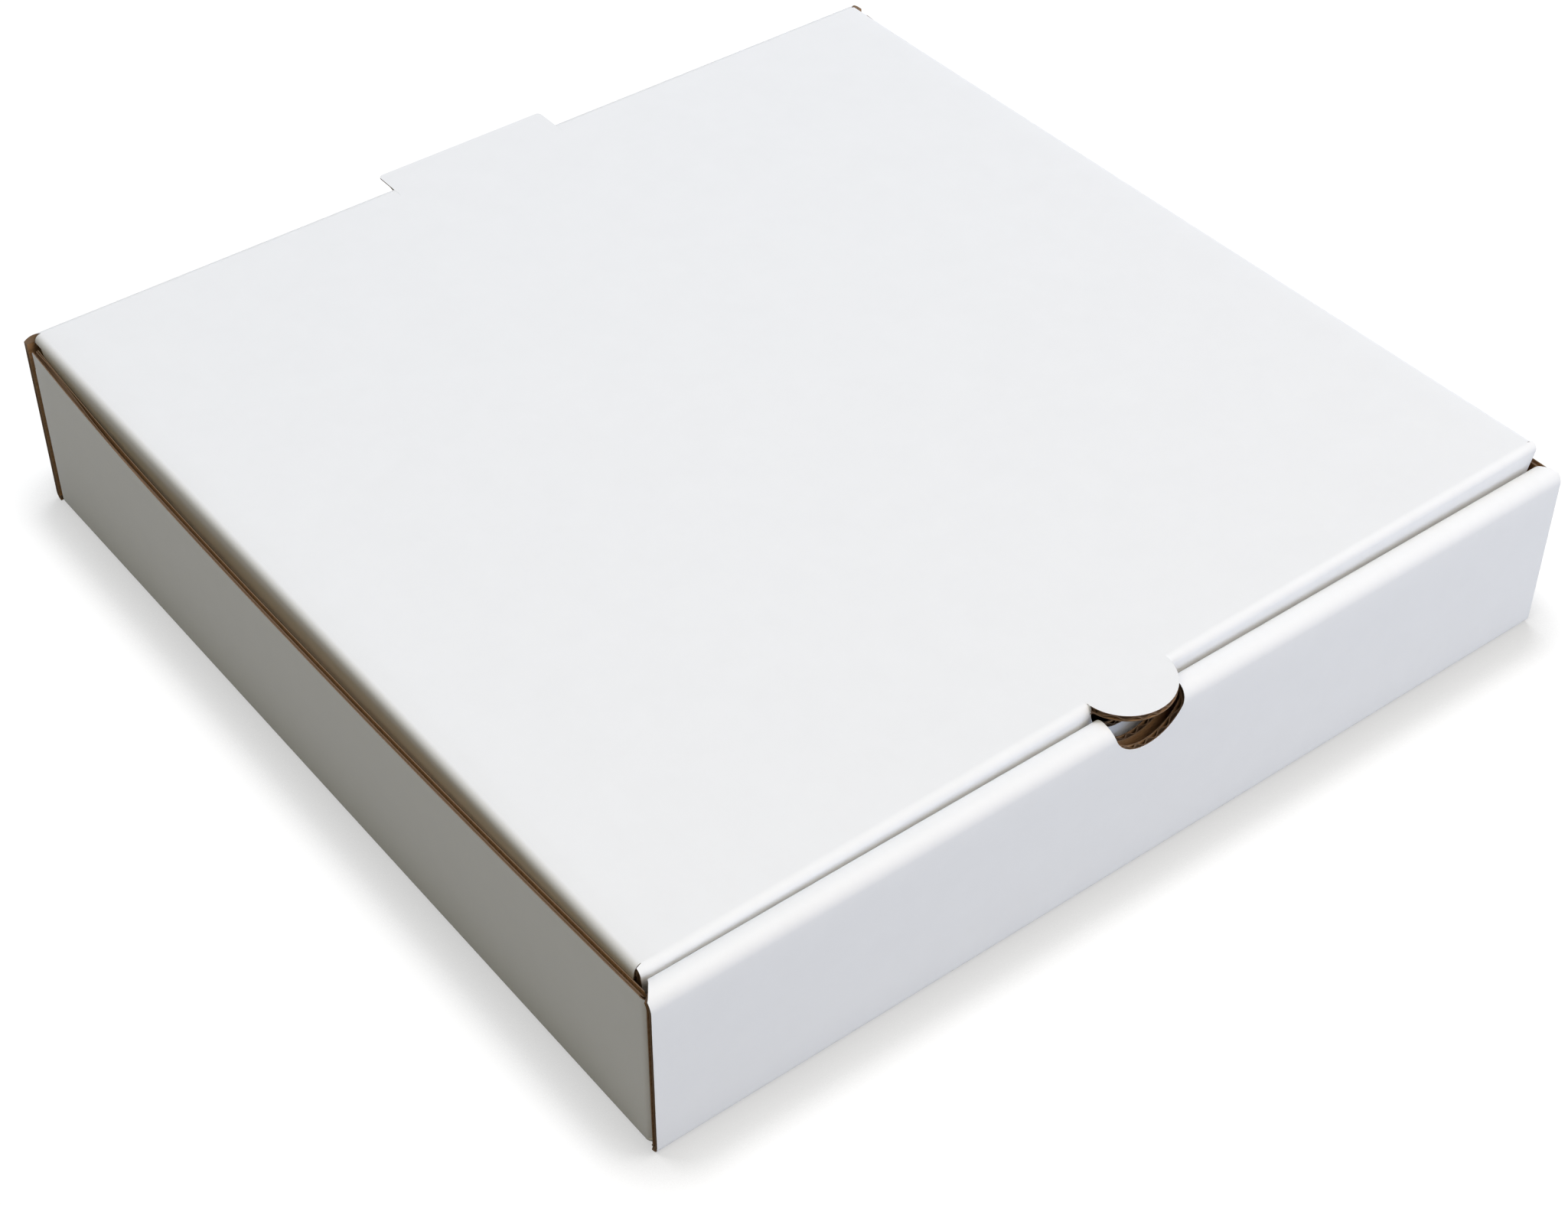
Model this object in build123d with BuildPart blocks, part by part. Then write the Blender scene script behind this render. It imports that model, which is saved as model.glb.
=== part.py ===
"""Ten-inch pizza box, folded from one die-cut sheet of fine-flute corrugated board.

The tray and the lid are the two stiff halves of the sheet: they turn on the crease along the
top of the back wall. Origin at the middle of the underside, +Z up, the front with its thumb
notch towards -Y. Sizes in millimetres, the box closed.
"""
import os
from math import radians, tan

from build123d import *

# Overall size
outer_width = 258.0       # over the outer faces of the side walls
outer_depth = 258.0       # front face to back face, without the tabs
lid_height = 50.5         # table to the top of the closed lid
front_height = 46.2       # table to the top of the rolled-over front wall
side_height = 45.2        # table to the raw top edge of a side wall

# Board and its folds
board = 1.6               # thickness of the board
crease = 0.6              # inside radius of a crease
layer_gap = 0.6           # room between layers folded against each other
swing_gap = 0.4           # room between the tray and what swings with the lid

# Front wall
notch_radius = 10.5       # half-round thumb notch through the front wall
lock_tab_width = 30.0     # tabs that hold the rolled-over panel down in the base
lock_tab_spacing = 130.0
lock_tab_lift = 0.2       # how far the tabs stop short of the table
slot_gap = 0.35           # room round a lock tab in its slot

# Corner flaps of the side walls
front_flap_length = 58.0  # inside the front wall, measured from the corner
rear_flap_length = 62.0   # inside the back wall
flap_corner = 6.0         # rounding of a free corner of a flap

# Lid
side_flap_depth = 34.0    # lid top to the lower edge of a side flap
side_flap_rear = 5.0      # flat stretch of lid behind the side flaps
side_flap_slit = 0.8      # slit between a side flap and the front fold
rear_taper = 25.0         # degrees, rear end of a side flap
front_taper = 12.0        # degrees, front end of a side flap
tuck_depth = 38.0         # lid top to the lower edge of the tuck flap
tuck_lean = 6.0           # degrees that the tuck flap leans inwards
tuck_taper = 8.0          # degrees, ends of the tuck flap
tuck_corner = 12.0        # rounding of the tuck flap's lower corners
thumb_radius = 11.4       # half-round thumb tab left standing in the lid's plane
rear_tab_width = 50.0     # tab behind the lid, cut from the top of the back wall
rear_tab_length = 6.5
rear_tab_corner = 1.2
rear_tab_gap = 0.8        # room round the rear tab when it swings into its cut-out
hinge_gap = 0.3           # room between the lid and the top of the back wall
hinge_round = 1.0         # rounding of the lid's rear fold

# Places that follow from the sizes
fold = crease + board                                   # outside radius of a crease
bend = crease + board / 2                               # radius at the middle of the board
mid = board / 2
half_width = outer_width / 2
half_depth = outer_depth / 2
front_stack = 3 * board + 2 * layer_gap                 # outer panel, corner flap, inner panel
inner_panel_back = -half_depth + front_stack
panel_bottom = board + layer_gap
flap_face = half_depth - board - layer_gap              # outer face of the corner flaps
flap_top = front_height - board - layer_gap
wall_front = inner_panel_back + layer_gap
back_top = lid_height - board - hinge_gap
lid_half = half_width - board - swing_gap
lid_front = inner_panel_back + layer_gap
lid_under = lid_height - board
thumb_root = lid_front + fold + crease                  # behind this the lid is flat
tuck_half = lid_half - crease
flap_rear = half_depth - side_flap_rear


def folded_board(points):
    """Section of a strip of board folded along creases, drawn on the middle of its thickness."""
    with BuildLine() as middle:
        FilletPolyline(*points, radius=bend)
    trace(middle.line, line_width=board)


# Tray: base, back wall and rolled-over front wall
with BuildPart() as tray:
    with BuildSketch(Plane.YZ):
        folded_board(
            [
                (inner_panel_back - mid, panel_bottom),
                (inner_panel_back - mid, front_height - mid),
                (-half_depth + mid, front_height - mid),
                (-half_depth + mid, mid),
                (half_depth - mid, mid),
                (half_depth - mid, back_top),
            ]
        )
    extrude(amount=half_width, both=True)

    # The rolled-over panel and the base are cut back for the side walls
    for side in (-1, 1):
        with BuildSketch(Plane.XY.offset(front_height - fold)):
            with Locations((side * half_width, -half_depth + board)):
                Rectangle(2 * (board + layer_gap), front_stack, align=(Align.CENTER, Align.MIN))
        extrude(amount=-(front_height - fold - panel_bottom + layer_gap), mode=Mode.SUBTRACT)
        with BuildSketch(Plane.XY):
            with Locations((side * half_width, 0)):
                Rectangle(2 * fold, 2 * flap_face)
        extrude(amount=board, mode=Mode.SUBTRACT)

    # Side walls, each folded up from the base, with a raw top edge
    with BuildSketch(Plane.XZ.offset(-(flap_face - fold))):
        folded_board(
            [
                (-half_width + mid, flap_top),
                (-half_width + mid, mid),
                (half_width - mid, mid),
                (half_width - mid, flap_top),
            ]
        )
    extrude(amount=2 * (flap_face - fold))
    with BuildSketch(Plane.XY.offset(flap_top)):
        with GridLocations(outer_width - board, 0, 2, 1):
            with Locations((0, (wall_front + flap_face - fold) / 2)):
                Rectangle(board, flap_face - fold - wall_front)
    extrude(amount=side_height - flap_top)

    # Corner flaps, turned in from both ends of each side wall
    for side in (-1, 1):
        with BuildSketch(Plane.XY.offset(panel_bottom)):
            folded_board(
                [
                    (side * (half_width - rear_flap_length), flap_face - mid),
                    (side * (half_width - mid), flap_face - mid),
                    (side * (half_width - mid), -flap_face + mid),
                    (side * (half_width - front_flap_length), -flap_face + mid),
                ]
            )
        extrude(amount=flap_top - panel_bottom)
    for reach in {front_flap_length, rear_flap_length}:
        flap_ends = [
            edge
            for edge in tray.edges().filter_by(Axis.Y)
            if abs(abs(edge.center().X) - (half_width - reach)) < board / 100
        ]
        fillet(flap_ends, radius=flap_corner)

    # Lock tabs under the rolled-over panel, in slots in the base
    with BuildSketch(Plane.XY):
        with GridLocations(lock_tab_spacing, 0, 2, 1):
            with Locations((0, inner_panel_back - mid)):
                Rectangle(lock_tab_width + 2 * slot_gap, board + 2 * slot_gap)
    extrude(amount=board, mode=Mode.SUBTRACT)
    with BuildSketch(Plane.XY.offset(lock_tab_lift)):
        with GridLocations(lock_tab_spacing, 0, 2, 1):
            with Locations((0, inner_panel_back - mid)):
                Rectangle(lock_tab_width, board)
    extrude(amount=panel_bottom - lock_tab_lift)

    # Half-round thumb notch through both panels of the front wall
    with BuildSketch(Plane.XZ.offset(half_depth)):
        with Locations((0, front_height)):
            Circle(notch_radius)
    extrude(amount=-front_stack, mode=Mode.SUBTRACT)

    # Cut-out in the back wall where the lid's rear tab comes from
    with BuildSketch(Plane.XZ.offset(-half_depth)):
        with Locations((0, lid_height)):
            Rectangle(
                rear_tab_width + 2 * rear_tab_gap,
                2 * (rear_tab_length + rear_tab_gap),
            )
    extrude(amount=board, mode=Mode.SUBTRACT)

# Tuck flap: the lid's front fold and the flap that goes down inside the front wall
with BuildPart() as tuck_flap:
    with BuildSketch(Plane.YZ):
        folded_board(
            [
                (thumb_root, lid_height - mid),
                (lid_front + mid, lid_height - mid),
                (lid_front + mid + tuck_depth * tan(radians(tuck_lean)), lid_height - tuck_depth),
            ]
        )
    extrude(amount=tuck_half, both=True)

    # Tapered ends with rounded lower corners
    tuck_reach = 2 * fold + tuck_depth * tan(radians(tuck_lean))
    tuck_foot = tuck_half - (tuck_depth - fold) * tan(radians(tuck_taper))
    with BuildSketch(Plane.XZ.offset(-lid_front)):
        with Locations((0, lid_height - fold)):
            Rectangle(2 * tuck_half, 2 * tuck_depth, align=(Align.CENTER, Align.MAX))
        with BuildSketch(mode=Mode.SUBTRACT) as outline:
            with BuildLine():
                Polyline(
                    (-tuck_half, lid_height - fold),
                    (-tuck_foot, lid_height - tuck_depth),
                    (tuck_foot, lid_height - tuck_depth),
                    (tuck_half, lid_height - fold),
                    close=True,
                )
            make_face()
            fillet(outline.vertices().group_by(Axis.Y)[0], radius=tuck_corner)
    extrude(amount=-tuck_reach, mode=Mode.SUBTRACT)

    # Half-round hole that the thumb tab was cut from
    with BuildSketch(Plane.XZ.offset(-lid_front)):
        with Locations((0, lid_height)):
            Circle(thumb_radius)
    extrude(amount=-tuck_reach, mode=Mode.SUBTRACT)

# Lid: top panel with its side flaps, rear tab and thumb tab
with BuildPart() as lid:
    with BuildSketch(Plane.XZ.offset(-flap_rear)):
        folded_board(
            [
                (-lid_half + mid, lid_height - side_flap_depth),
                (-lid_half + mid, lid_height - mid),
                (lid_half - mid, lid_height - mid),
                (lid_half - mid, lid_height - side_flap_depth),
            ]
        )
    extrude(amount=flap_rear - thumb_root)

    # Side flaps end short of the front fold, tapered, with rounded corners
    flap_front = thumb_root + side_flap_slit
    flap_fall = side_flap_depth - fold
    with BuildSketch(Plane.YZ.offset(-lid_half)):
        with Locations((thumb_root, lid_height - fold)):
            Rectangle(flap_rear - thumb_root, flap_fall, align=(Align.MIN, Align.MAX))
        with BuildSketch(mode=Mode.SUBTRACT) as outline:
            with BuildLine():
                Polyline(
                    (flap_front, lid_height - fold),
                    (flap_front + flap_fall * tan(radians(front_taper)), lid_height - side_flap_depth),
                    (flap_rear - flap_fall * tan(radians(rear_taper)), lid_height - side_flap_depth),
                    (flap_rear, lid_height - fold),
                    close=True,
                )
            make_face()
            fillet(outline.vertices().group_by(Axis.Y)[0], radius=flap_corner)
    extrude(amount=2 * lid_half, mode=Mode.SUBTRACT)
    with BuildSketch(Plane.XY.offset(lid_height)):
        with GridLocations(2 * lid_half, 0, 2, 1):
            with Locations((0, thumb_root)):
                Rectangle(2 * fold, side_flap_slit, align=(Align.CENTER, Align.MIN))
    extrude(amount=-fold, mode=Mode.SUBTRACT)

    # Flat stretch along the rear fold, and the rear tab in the same plane
    with BuildSketch(Plane.XY.offset(lid_under)):
        with Locations((0, flap_rear)):
            Rectangle(2 * lid_half, side_flap_rear, align=(Align.CENTER, Align.MIN))
    extrude(amount=board)
    rear_fold = lid.edges().filter_by(Axis.X).group_by(Axis.Y)[-1].group_by(Axis.Z)[-1]
    fillet(rear_fold, radius=hinge_round)
    with BuildSketch(Plane.XY.offset(lid_under)):
        with Locations((0, half_depth - hinge_round)):
            Rectangle(rear_tab_width, rear_tab_length + hinge_round, align=(Align.CENTER, Align.MIN))
    extrude(amount=board)
    tab_corners = lid.edges().filter_by(Axis.Z).group_by(Axis.Y)[-1]
    fillet(tab_corners, radius=rear_tab_corner)

    # Half-round thumb tab over the notch
    with BuildSketch(Plane.XY.offset(lid_under)):
        with BuildLine():
            CenterArc((0, thumb_root), thumb_radius, 180, 180)
            Line((-thumb_radius, thumb_root), (thumb_radius, thumb_root))
        make_face()
    extrude(amount=board)
    add(tuck_flap.part)

tray.part.label = "tray"
lid.part.label = "lid"

os.makedirs("parts", exist_ok=True)
export_step(tray.part, "parts/tray.step")
export_step(lid.part, "parts/lid.step")
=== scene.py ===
"""Ten-inch pizza box, die-cut and folded from one sheet of fine-flute corrugated board.

The file follows the box as it is made: the blank of the tray is cut flat and folded, its cut edges
get their fluting, then the lid and the crease that joins the two. Metres, +Z up, front towards -Y.
"""
import math

import bpy
import numpy as np
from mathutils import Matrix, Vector
from mathutils.geometry import delaunay_2d_cdt


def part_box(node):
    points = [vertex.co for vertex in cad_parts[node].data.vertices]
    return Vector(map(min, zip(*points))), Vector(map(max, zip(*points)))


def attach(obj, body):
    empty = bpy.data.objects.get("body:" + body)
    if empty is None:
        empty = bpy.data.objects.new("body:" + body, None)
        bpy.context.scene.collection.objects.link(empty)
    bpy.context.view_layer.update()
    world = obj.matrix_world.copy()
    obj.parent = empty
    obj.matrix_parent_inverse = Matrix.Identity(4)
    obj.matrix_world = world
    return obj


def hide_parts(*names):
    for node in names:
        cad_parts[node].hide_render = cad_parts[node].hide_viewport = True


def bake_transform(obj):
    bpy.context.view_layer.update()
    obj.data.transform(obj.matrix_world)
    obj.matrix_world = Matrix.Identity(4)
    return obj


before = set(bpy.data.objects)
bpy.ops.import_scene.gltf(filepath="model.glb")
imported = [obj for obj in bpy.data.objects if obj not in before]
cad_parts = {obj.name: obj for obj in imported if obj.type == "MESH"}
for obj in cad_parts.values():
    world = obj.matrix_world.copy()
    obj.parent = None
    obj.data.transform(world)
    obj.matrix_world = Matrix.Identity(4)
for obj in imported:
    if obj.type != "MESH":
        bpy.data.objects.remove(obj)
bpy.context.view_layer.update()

# Tray: base, back wall, two side walls with corner flaps, and the front wall that is rolled over
# into an outer panel, a narrow top strip and an inner panel. Fine-flute board, white outside and
# brown kraft inside, cut flat with its creases pressed in, then folded up by hand.
mm = 0.001
tray_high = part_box("tray")[1]

board = 1.6 * mm
liner = 0.24 * mm                    # each of the two flat papers of the board
fold = 1.9 * mm                      # outside radius of a crease
bend = fold - board / 2              # radius at the middle of the board
quarter = bend * math.pi / 2         # length of board taken up by a right-angled crease
half_width = tray_high.x
half_depth = tray_high.y
base_reach = half_width - fold       # the base is flat up to here, sideways and lengthways
front_height = 46.9 * mm
side_height = 45.2 * mm
front_stack = 6.0 * mm               # depth of the rolled-over front wall
roll = 3.8 * mm                      # outside radius of the soft bend into the front wall's top strip
roll_bend = roll - board / 2
layer_gap = 0.6 * mm                 # room between layers folded against each other
layer = board + layer_gap
corner_reach = half_depth - layer - fold   # side walls are straight up to here
flap_top = 44.0 * mm
rear_rise = 2.6 * mm                 # the side walls' top edges curve up towards the back wall
rise_start = 50.0 * mm
panel_inset = 4.0 * mm               # the inner panel is this much shorter at each end
front_flap = 58.0 * mm               # corner flaps, measured from the corner
rear_flap = 62.0 * mm
flap_corner = 6.0 * mm
notch_radius = 10.5 * mm
lock_tab_width = 30.0 * mm
lock_tab_place = 65.0 * mm
lock_tab_lift = 0.2 * mm             # the lock tabs stop this far above the table
lock_tab_drop = layer - lock_tab_lift
slot_gap = 0.35 * mm
crease_top = 46.0 * mm               # the rear crease takes over from the back wall here
rear_cut_half = 25.3 * mm            # cut-out in the back wall, where the rear tab comes from
rear_cut_low = 43.2 * mm

wall_start = base_reach + quarter - fold        # add a height above the table for the place in the blank
flap_start = corner_reach + quarter - fold      # add a length from the corner for the place in the blank
strip_start = wall_start + front_height - roll  # the top strip's creases, measured from the middle
strip_flat = strip_start + roll_bend * math.pi / 2
strip_end = strip_flat + front_stack - roll - fold
panel_start = strip_end + quarter
panel_end = panel_start + front_height - fold - layer


def rounded(points):
    """A closed outline. A corner with a third value becomes an arc of that radius."""
    outline = []
    for i, (x, y, *radius) in enumerate(points):
        here = Vector((x, y))
        if not radius:
            outline.append(here)
            continue
        before = (Vector(points[i - 1][:2]) - here).normalized()
        after = (Vector(points[(i + 1) % len(points)][:2]) - here).normalized()
        half_angle = before.angle(after) / 2
        middle = here + (before + after).normalized() * radius[0] / math.sin(half_angle)
        start = here + before * radius[0] / math.tan(half_angle) - middle
        turn = math.pi - 2 * half_angle
        turn = math.copysign(turn, before.x * after.y - before.y * after.x) * -1
        steps = 10
        for k in range(steps + 1):
            c, s = math.cos(turn * k / steps), math.sin(turn * k / steps)
            outline.append(middle + Vector((start.x * c - start.y * s, start.x * s + start.y * c)))
    return outline


def both_sides(points):
    """The outline of a blank that is alike left and right, from its right half, front to back."""
    return rounded(points + [(-x, y, *radius) for x, y, *radius in reversed(points)])


def arc(centre, radius, start, end, steps):
    """Points along an arc, in degrees."""
    turns = [math.radians(start + (end - start) * k / steps) for k in range(steps + 1)]
    return [Vector((centre[0] + radius * math.cos(t), centre[1] + radius * math.sin(t))) for t in turns]


def even(start, end, cell):
    """Places from start to end, no more than a cell apart."""
    return list(np.linspace(start, end, max(2, math.ceil(abs(end - start) / cell - 1e-6) + 1)))


def cut_up(loop, lines_x, lines_y):
    """A closed loop with a point wherever it crosses a line of the grid."""
    closest = 0.02 * mm              # points of a loop keep this far apart
    made = []
    for a, b in zip(loop, loop[1:] + loop[:1]):
        parts = {0.0}
        for low, high, lines in ((a.x, b.x, lines_x), (a.y, b.y, lines_y)):
            if abs(high - low) > closest / 2:
                parts |= {(line - low) / (high - low) for line in lines}
        gap = closest / max((b - a).length, closest)
        last = -1.0
        for t in sorted(t for t in parts if 0 <= t < 1 - gap):
            if t - last > gap:
                made.append(a + (b - a) * t)
                last = t
    return made


def inside(points, loops):
    """Which points lie on the board, with its holes left out."""
    within = np.zeros(len(points), bool)
    x, y = points.T
    for loop in loops:
        corners = np.array(loop)
        for (ax, ay), (bx, by) in zip(corners, np.roll(corners, -1, axis=0)):
            if ay != by:
                crosses = ((ay > y) != (by > y)) & (x < (bx - ax) * (y - ay) / (by - ay) + ax)
                within ^= crosses
    return within


def clearance(points, loops):
    """Distance of each point from the nearest cut edge."""
    nearest = np.full(len(points), np.inf)
    for loop in loops:
        corners = np.array(loop)
        for a, b in zip(corners, np.roll(corners, -1, axis=0)):
            run = b - a
            t = np.clip(((points - a) @ run) / max(run @ run, 1e-12), 0, 1)
            nearest = np.minimum(nearest, np.linalg.norm(points - a - t[:, None] * run, axis=1))
    return nearest


def flat_board(name, loops, lines_x, lines_y, papers, outside):
    """The flat blank: each paper is a thin closed slab between two heights. outside is the height of
    the white face, the other faces are kraft and the rims are cut edges."""
    edge_room = 0.15 * mm            # grid points keep this far from a cut edge
    sliver = 0.0001 * mm             # flatter triangles are left out
    same_place = 1e-5                # in millimetres, as the triangles are worked out in them
    loops = [cut_up(loop, lines_x, lines_y) for loop in loops]
    grid = np.array([(x, y) for x in lines_x for y in lines_y])
    grid = grid[inside(grid, loops)]
    grid = grid[clearance(grid, loops) > edge_room]
    points = [p for loop in loops for p in loop]
    edges = []
    for loop in loops:
        first = len(edges)
        edges += [(first + i, first + (i + 1) % len(loop)) for i in range(len(loop))]
    points = [p / mm for p in points] + [Vector(p) / mm for p in grid]
    places, _, faces = delaunay_2d_cdt(points, edges, [], 0, same_place, True)[:3]
    flat = np.array(places) * mm
    corners = flat[np.array(faces)]
    first, second = corners[:, 1] - corners[:, 0], corners[:, 2] - corners[:, 0]
    area = np.abs(first[:, 0] * second[:, 1] - first[:, 1] * second[:, 0])
    longest = np.linalg.norm(corners - np.roll(corners, 1, axis=1), axis=2).max(1)
    kept = inside(corners.mean(1), loops) & (area / longest > sliver)
    faces = [f for f, keep in zip(faces, kept) if keep]
    sides = dict.fromkeys(edge for a, b, c in faces for edge in ((a, b), (b, c), (c, a)))
    rims = [(a, b) for a, b in sides if (b, a) not in sides]

    vertices, polygons, finishes = [], [], []
    for low, high in papers:
        start, count = len(vertices), len(flat)
        vertices += [(x, y, z) for z in (low, high) for x, y in flat]
        polygons += [(start + c, start + b, start + a) for a, b, c in faces]
        polygons += [tuple(start + count + i for i in f) for f in faces]
        polygons += [(start + a, start + b, start + count + b, start + count + a) for a, b in rims]
        finishes += [int(low != outside)] * len(faces) + [int(high != outside)] * len(faces)
        finishes += [2] * len(rims)
    mesh = bpy.data.meshes.new(name)
    mesh.from_pydata(vertices, [], polygons)
    mesh.polygons.foreach_set("material_index", finishes)
    made = bpy.data.objects.new(name, mesh)
    bpy.context.scene.collection.objects.link(made)
    return made


def add_node(tree, kind, inputs=None, **settings):
    """Adds a node with its settings, and its inputs given as values or as the sockets they come from."""
    made = tree.nodes.new(kind)
    for name, value in settings.items():
        setattr(made, name, value)
    for name, value in (inputs or {}).items():
        if isinstance(value, bpy.types.NodeSocket):
            tree.links.new(value, made.inputs[name])
        else:
            made.inputs[name].default_value = value
    return made


def crease_nodes():
    """Node group that bends a sheet along one crease. Radius is above zero for a fold upwards."""
    tree = bpy.data.node_groups.new("fold_along_crease", "GeometryNodeTree")
    for name, kind in (
        ("Sheet", "Geometry"),
        ("Moves", "Bool"),
        ("Blank", "Vector"),
        ("Across", "Vector"),
        ("Crease", "Float"),
        ("Angle", "Float"),
        ("Radius", "Float"),
        ("Middle", "Float"),
    ):
        tree.interface.new_socket(name, in_out="INPUT", socket_type="NodeSocket" + kind)
    tree.interface.new_socket("Sheet", in_out="OUTPUT", socket_type="NodeSocketGeometry")
    given = add_node(tree, "NodeGroupInput").outputs
    across, radius = given["Across"], given["Radius"]
    place = add_node(tree, "ShaderNodeVectorMath", {0: given["Blank"], 1: across}, operation="DOT_PRODUCT")
    past = add_node(
        tree, "ShaderNodeMath", {0: place.outputs["Value"], 1: given["Crease"]}, operation="SUBTRACT"
    )
    size = add_node(tree, "ShaderNodeMath", {0: radius}, operation="ABSOLUTE")
    length = add_node(tree, "ShaderNodeMath", {0: size.outputs[0], 1: given["Angle"]}, operation="MULTIPLY")
    used = add_node(
        tree, "ShaderNodeClamp", {"Value": past.outputs[0], "Min": 0.0, "Max": length.outputs[0]}
    ).outputs[0]
    turn = add_node(tree, "ShaderNodeMath", {0: used, 1: radius}, operation="DIVIDE")
    taken = add_node(tree, "ShaderNodeVectorMath", {0: across, "Scale": used}, operation="SCALE")
    here = add_node(tree, "GeometryNodeInputPosition")
    drawn = add_node(
        tree, "ShaderNodeVectorMath", {0: here.outputs[0], 1: taken.outputs[0]}, operation="SUBTRACT"
    )
    foot = add_node(tree, "ShaderNodeVectorMath", {0: across, "Scale": given["Crease"]}, operation="SCALE")
    height = add_node(tree, "ShaderNodeMath", {0: given["Middle"], 1: radius}, operation="ADD")
    lift = add_node(tree, "ShaderNodeCombineXYZ", {"Z": height.outputs[0]})
    centre = add_node(
        tree, "ShaderNodeVectorMath", {0: foot.outputs[0], 1: lift.outputs[0]}, operation="ADD"
    )
    axis = add_node(
        tree, "ShaderNodeVectorMath", {0: across, 1: (0, 0, 1)}, operation="CROSS_PRODUCT"
    )
    turned = add_node(
        tree,
        "ShaderNodeVectorRotate",
        {
            "Vector": drawn.outputs[0],
            "Center": centre.outputs[0],
            "Axis": axis.outputs[0],
            "Angle": turn.outputs[0],
        },
    )
    moved = add_node(
        tree,
        "GeometryNodeSetPosition",
        {"Geometry": given["Sheet"], "Selection": given["Moves"], "Position": turned.outputs[0]},
    )
    add_node(tree, "NodeGroupOutput", {"Sheet": moved.outputs[0]})
    return tree


fold_along_crease = crease_nodes()


def new_tree(name):
    """An empty tree that takes a sheet and gives one back, with the sheet's input socket."""
    tree = bpy.data.node_groups.new(name, "GeometryNodeTree")
    tree.interface.new_socket("Sheet", in_out="INPUT", socket_type="NodeSocketGeometry")
    tree.interface.new_socket("Sheet", in_out="OUTPUT", socket_type="NodeSocketGeometry")
    return tree, add_node(tree, "NodeGroupInput").outputs["Sheet"]


def keep_blank(tree, sheet):
    """Keeps each point's place in the flat blank, which the creases and the papers' patterns go by."""
    here = add_node(tree, "GeometryNodeInputPosition")
    kept = add_node(
        tree,
        "GeometryNodeStoreNamedAttribute",
        {"Geometry": sheet, "Name": "blank", "Value": here.outputs[0]},
        data_type="FLOAT_VECTOR",
        domain="POINT",
    )
    blank = add_node(tree, "GeometryNodeInputNamedAttribute", {"Name": "blank"}, data_type="FLOAT_VECTOR")
    return kept.outputs[0], blank.outputs[0]


def fold_up(tree, sheet, blank, creases):
    """Folds the sheet along its creases, the outermost first. Each is (what moves, direction across
    the crease, where the bend starts, angle, radius, height of the board's middle)."""
    for moves, across, crease, angle, radius, middle in creases:
        folded = add_node(
            tree,
            "GeometryNodeGroup",
            {
                "Sheet": sheet,
                "Moves": moves,
                "Blank": blank,
                "Across": across,
                "Crease": crease,
                "Angle": angle,
                "Radius": radius,
                "Middle": middle,
            },
            node_tree=fold_along_crease,
        )
        sheet = folded.outputs[0]
    return sheet


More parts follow.
